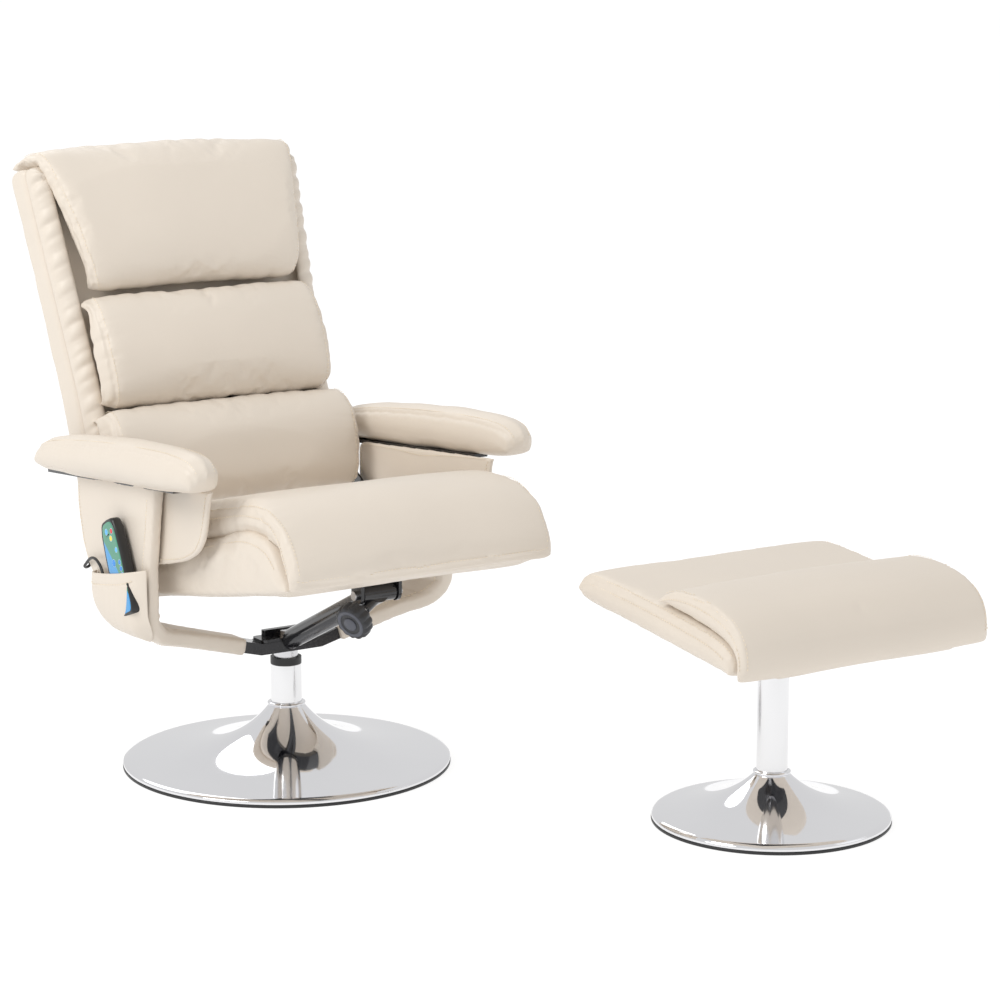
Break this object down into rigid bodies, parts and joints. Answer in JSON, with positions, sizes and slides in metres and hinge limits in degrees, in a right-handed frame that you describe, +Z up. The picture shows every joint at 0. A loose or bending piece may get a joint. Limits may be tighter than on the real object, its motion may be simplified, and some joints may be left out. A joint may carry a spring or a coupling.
{
  "type": "massage chair",
  "caption": "Cream upholstered reclining massage chair with padded arms on a round chrome swivel pedestal, with a handset in its side pocket and a matching swivel footstool.",
  "frame": {"origin": "on the floor, under the axis of the chair's column", "axes": "+Z up along the column; the chair faces -Y; +X is to the chair's left-hand sitter side"},
  "size_m": [1.088, 1.4786, 1.04],
  "materials": {
    "chrome_base": "polished chrome, mirror-like",
    "satin_column": "plated tube, lightly brushed",
    "black_plastic": "moulded, fine texture",
    "dark_steel": "raw plate",
    "bright_steel": "zinc plated",
    "black_paint": "gloss black powder coat",
    "knob_plastic": "moulded, satin",
    "handset_plastic": "moulded, satin",
    "handset_print": "printed film, semi-gloss",
    "handset_keys": "domed membrane keys",
    "cord_jacket": "smooth jacket",
    "lining_cloth": "thin non-woven lining",
    "heater_cloth": "heater cloth",
    "rotor_brass": "turned",
    "cream_leather": "smooth faux leather with fine grain"
  },
  "bodies": {
    "chair_base": {"base_shell": "chrome_base", "base_ballast": "dark_steel", "base_floor_ring": "black_plastic", "base_column": "satin_column", "base_collar": "chrome_base", "column_bushes": "black_plastic", "base_bolt": "dark_steel"},
    "swivel_frame": {"swivel_spindle": "bright_steel", "hub_plate": "black_paint", "hub_bolt": "bright_steel", "arm_frame": "black_paint", "boom_tube": "black_paint", "boom_shaft": "bright_steel", "knob_bracket": "black_paint", "arm_brackets": "black_paint", "side_sleeve_left": "cream_leather", "side_sleeve_right": "cream_leather", "handset_pocket": "cream_leather", "arm_pad_left": "cream_leather", "arm_pad_right": "cream_leather", "arm_panel_left": "cream_leather", "arm_panel_right": "cream_leather", "handset_cord": "cord_jacket", "cord_gland": "black_plastic"},
    "knob": {"recline_knob": "knob_plastic", "knob_stud": "bright_steel"},
    "handset": {"handset_case": "handset_plastic", "handset_face": "handset_print", "handset_keys": "handset_keys"},
    "seat": {"seat_frame": "black_paint", "seat_springs": "bright_steel", "seat_cushion": "cream_leather", "seat_pad": "cream_leather", "seat_underside": "lining_cloth", "control_box": "black_plastic", "seat_motor": "black_plastic"},
    "backrest": {"back_frame": "black_paint", "back_shell": "cream_leather", "back_gusset": "cream_leather", "head_pad": "cream_leather", "middle_pad": "cream_leather", "lower_pad": "cream_leather", "heater_pad": "heater_cloth", "motor_housings": "black_plastic", "back_hinges": "black_paint"},
    "upper_left_rotor": {"rotor_upper_left": "rotor_brass"},
    "upper_right_rotor": {"rotor_upper_right": "rotor_brass"},
    "lower_left_rotor": {"rotor_lower_left": "rotor_brass"},
    "lower_right_rotor": {"rotor_lower_right": "rotor_brass"},
    "seat_rotor": {"rotor_seat": "rotor_brass"},
    "footstool_base": {"stool_base_shell": "chrome_base", "stool_ballast": "dark_steel", "stool_floor_ring": "black_plastic", "stool_column": "satin_column", "stool_collar": "chrome_base", "stool_bush": "black_plastic"},
    "footstool_top": {"stool_spindle": "bright_steel", "stool_plate": "black_paint", "stool_cushion": "cream_leather", "stool_pad": "cream_leather"}
  },
  "joints": [
    {"name": "chair_swivel", "type": "hinge", "parent": "chair_base", "child": "swivel_frame", "pos_m": [0, 0, 0.19], "axis": [0, 0, 1], "continuous": true},
    {"name": "back_recline", "type": "hinge", "parent": "swivel_frame", "child": "backrest", "pos_m": [0, 0.15, 0.425], "axis": [-1, 0, 0], "range_deg": [0, 22]},
    {"name": "seat_tilt", "type": "hinge", "parent": "swivel_frame", "child": "seat", "pos_m": [0, -0.31, 0.362], "axis": [-1, 0, 0], "range_deg": [0, 3.96]},
    {"name": "knob_turn", "type": "hinge", "parent": "swivel_frame", "child": "knob", "pos_m": [-0.047, -0.33, 0.3325], "axis": [-0.8535, -0.3448, -0.3907], "range_deg": [-180, 180]},
    {"name": "handset_lift", "type": "slide", "parent": "swivel_frame", "child": "handset", "axis": [0, 0.4147, 0.91], "range_m": [0, 0.05]},
    {"name": "upper_left_motor_spin", "type": "hinge", "parent": "backrest", "child": "upper_left_rotor", "pos_m": [-0.096, 0.3258, 0.68474], "axis": [0, -0.9336, 0.3584], "continuous": true},
    {"name": "upper_right_motor_spin", "type": "hinge", "parent": "backrest", "child": "upper_right_rotor", "pos_m": [0.096, 0.3258, 0.68474], "axis": [0, -0.9336, 0.3584], "continuous": true},
    {"name": "lower_left_motor_spin", "type": "hinge", "parent": "backrest", "child": "lower_left_rotor", "pos_m": [-0.096, 0.2595, 0.51203], "axis": [0, -0.9336, 0.3584], "continuous": true},
    {"name": "lower_right_motor_spin", "type": "hinge", "parent": "backrest", "child": "lower_right_rotor", "pos_m": [0.096, 0.2595, 0.51203], "axis": [0, -0.9336, 0.3584], "continuous": true},
    {"name": "seat_motor_spin", "type": "hinge", "parent": "seat", "child": "seat_rotor", "pos_m": [0, -0.11229, 0.37676], "axis": [0, 0.1874, 0.9823], "continuous": true},
    {"name": "footstool_slide", "type": "slide", "parent": "chair_base", "child": "footstool_base", "axis": [0, -1, 0], "range_m": [0, 0.3]},
    {"name": "footstool_swivel", "type": "hinge", "parent": "footstool_base", "child": "footstool_top", "pos_m": [0.498, -0.734, 0.3], "axis": [0, 0, 1], "continuous": true}
  ],
  "couplings": [
    {"joint": "seat_tilt", "follows": "back_recline", "ratio": 0.18}
  ]
}
